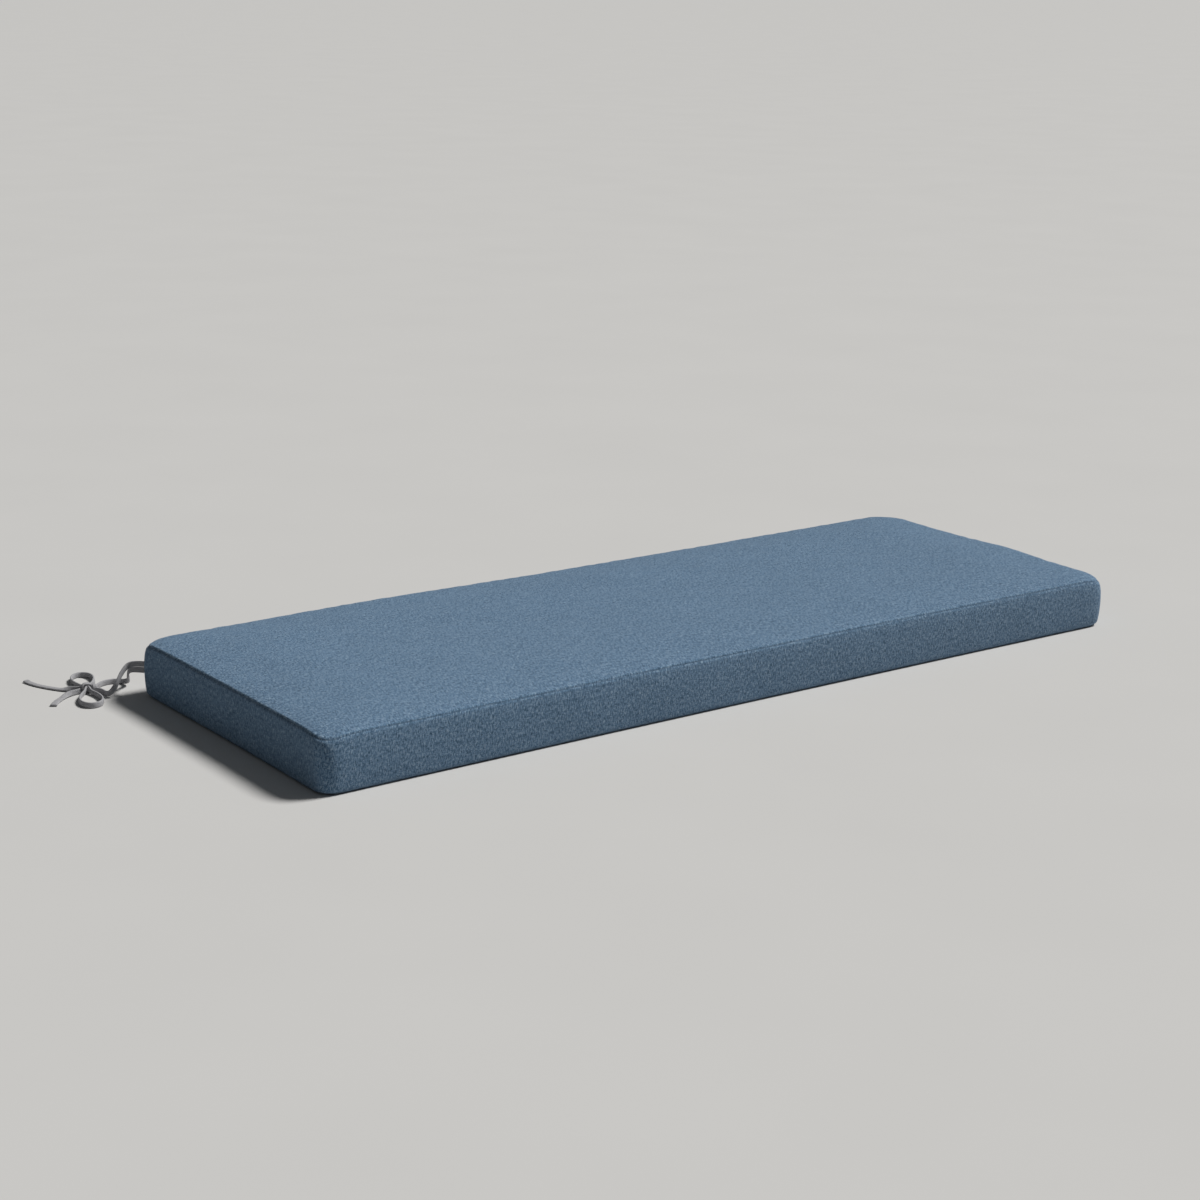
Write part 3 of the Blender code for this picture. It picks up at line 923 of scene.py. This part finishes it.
def detail(mesh, seam_rise):
    """Seams, lips, puckers and the slight unevenness of a filled cover, moved into the mesh."""
    count = len(mesh.vertices)
    co = np.empty(count * 3, np.float32)
    mesh.vertices.foreach_get("co", co)
    co = co.reshape(-1, 3).astype(float)
    normal = np.empty(count * 3, np.float32)
    mesh.vertex_normals.foreach_get("vector", normal)
    normal = normal.reshape(-1, 3).astype(float)
    rest = np.empty(count * 3, np.float32)
    mesh.attributes["rest"].data.foreach_get("vector", rest)
    rest = rest.reshape(-1, 3).astype(float)
    rise = np.empty(count, np.float32)
    mesh.attributes["rise"].data.foreach_get("value", rise)
    rise = rise.astype(float)
    from_top, from_low = rise - seam_rise, rise
    share, from_upright = around_edge(rest[:, 0], rest[:, 1])
    on_boxing = (rise > 0) & (rise < seam_rise)

    def bell(value, width):
        return np.exp(-((value / width) ** 2))

    pull = waves(share, (61, 88, 113, 131, 154), 5)
    fine_pull = waves(share, (171, 204, 233, 262), 11)
    uneven = waves(share, (9, 14, 23, 31), 3)
    # The seam is shallower along the long sides than across the ends.
    long_side = np.clip((LENGTH / 2 - np.abs(rest[:, 0])) / 0.040, 0, 1)
    groove = 0.0007 * (1 - 0.28 * long_side) * (1 + 0.18 * fine_pull) * bell(from_top, 0.0009)
    lip_top = 0.0007 * (1 + 0.35 * pull + 0.3 * uneven) * bell(from_top - 0.0028, 0.0019)
    away = np.hypot(LENGTH / 2 - np.abs(rest[:, 0]), DEPTH / 2 - np.abs(rest[:, 1]))
    calm = 1 - 0.45 * bell(away, 0.030)
    groove, lip_top = groove * calm, lip_top * calm
    lip_box = 0.0003 * (1 + 0.40 * pull) * bell(from_top + 0.0030, 0.0020)
    pucker_top = 0.00012 * fine_pull * np.where(from_top > 0, np.exp(-np.abs(from_top) / 0.008), 0) * (1 - bell(from_top, 0.0010))
    pucker_wide = 0.00016 * pull * np.where(from_top > 0, np.exp(-np.abs(from_top) / 0.020), np.exp(-np.abs(from_top) / 0.010))
    low_groove = 0.0006 * bell(from_low, 0.0009)
    low_lip = 0.0002 * (1 + 0.4 * pull) * bell(np.abs(from_low) - 0.0026, 0.0015)
    upright = np.where(on_boxing, 0.0009 * bell(from_upright, 0.0011), 0)
    sway = np.where(on_boxing, 0.0006 * uneven * np.sin(math.pi * np.clip(rise / seam_rise, 0, 1)), 0)
    top_share = np.clip(from_top / 0.05, 0, 1)
    roll = top_share * (
        0.00055 * soft_noise(rest[:, 0], rest[:, 1], 0.17, 21)
        + 0.00022 * soft_noise(rest[:, 0], rest[:, 1], 0.060, 22)
    )
    move = -groove + lip_top + lip_box + pucker_top + pucker_wide - low_groove + low_lip - upright + sway + roll
    resting = np.clip((rest[:, 2] - 0.0005) / 0.004, 0, 1)
    # The right end is filled a little fuller towards its front.
    near_end = np.clip((rest[:, 0] - (LENGTH / 2 - 0.090)) / 0.080, 0, 1)
    near_end = near_end**2 * (3 - 2 * near_end)
    fuller = bell(rest[:, 1] + 0.042, 0.072) * near_end * np.clip(rest[:, 2] / TOP_SEAM_HEIGHT, 0, 1) ** 2
    co[:, 2] += FULLER_END * fuller
    # So is the left half of the back edge.
    near_back = np.clip((rest[:, 1] - (DEPTH / 2 - 0.080)) / 0.070, 0, 1)
    near_back = near_back**2 * (3 - 2 * near_back)
    fuller = bell(rest[:, 0] + 0.320, 0.200) * near_back * np.clip(rest[:, 2] / TOP_SEAM_HEIGHT, 0, 1) ** 2
    co[:, 2] += FULLER_BACK * fuller
    co += normal * (move * resting)[:, None]
    co[:, 2] = np.maximum(co[:, 2], 0.0)
    mesh.vertices.foreach_set("co", co.astype(np.float32).ravel())
    # Where painted shade darkens the seams.
    seam_shade = np.maximum.reduce(
        [bell(from_top, 0.0010), 0.8 * bell(from_low, 0.0010), np.where(on_boxing, bell(from_upright, 0.0010), 0)]
    )
    # Less painted shade in the seam along the front, where light falls into its groove.
    seam_shade *= 1 - 0.45 * long_side * np.clip((-rest[:, 1] - 0.100) / 0.080, 0, 1)
    # Where the painted lip highlight and dent shade go.
    lip = bell(from_top - 0.0034, 0.0022) * np.clip(0.6 + 0.5 * uneven, 0, 1)
    for name, values in (("seam_shade", seam_shade), ("lip", lip)):
        attribute = mesh.attributes.new(name, "FLOAT", "POINT")
        attribute.data.foreach_set("value", values.astype(np.float32))
    mesh.attributes.remove(mesh.attributes["rest"])
    mesh.attributes.remove(mesh.attributes["rise"])
    mesh.update()


# ------------------------------------------------------------------ floor and light
def make_floor(material):
    mesh = bpy.data.meshes.new("floor")
    mesh.from_pydata([(-120, -120, 0), (120, -120, 0), (120, 120, 0), (-120, 120, 0)], [], [(0, 1, 2, 3)])
    mesh.materials.append(material)
    floor = bpy.data.objects.new("floor", mesh)
    SCENE.collection.objects.link(floor)


def add_key(towards, power, spread, colour):
    """A soft key light from one direction, even over the whole floor."""
    data = bpy.data.lights.new("key", "SUN")
    data.energy = power
    data.angle = spread
    data.color = colour
    lamp = bpy.data.objects.new("key", data)
    lamp.location = Vector(towards) * 4
    lamp.rotation_euler = (-Vector(towards)).to_track_quat("-Z", "Y").to_euler()
    SCENE.collection.objects.link(lamp)


def make_light():
    world = SCENE.world or bpy.data.worlds.new("world")
    SCENE.world = world
    world.use_nodes = True
    sky = world.node_tree.nodes["Background"]
    sky.inputs[0].default_value = (0.90, 0.95, 1.0, 1.0)
    sky.inputs[1].default_value = 0.10
    add_key((0.60, -0.15, 0.77), 3.88, 0.27, (1.0, 0.985, 0.96))
    SCENE.view_settings.view_transform = "Standard"


# ----------------------------------------------------------------------------- build
make_camera()
tape_cloth = tie_cloth()
make_ties(tape_cloth)
make_cushion(cushion_cloth())
make_floor(floor_paint())
make_light()
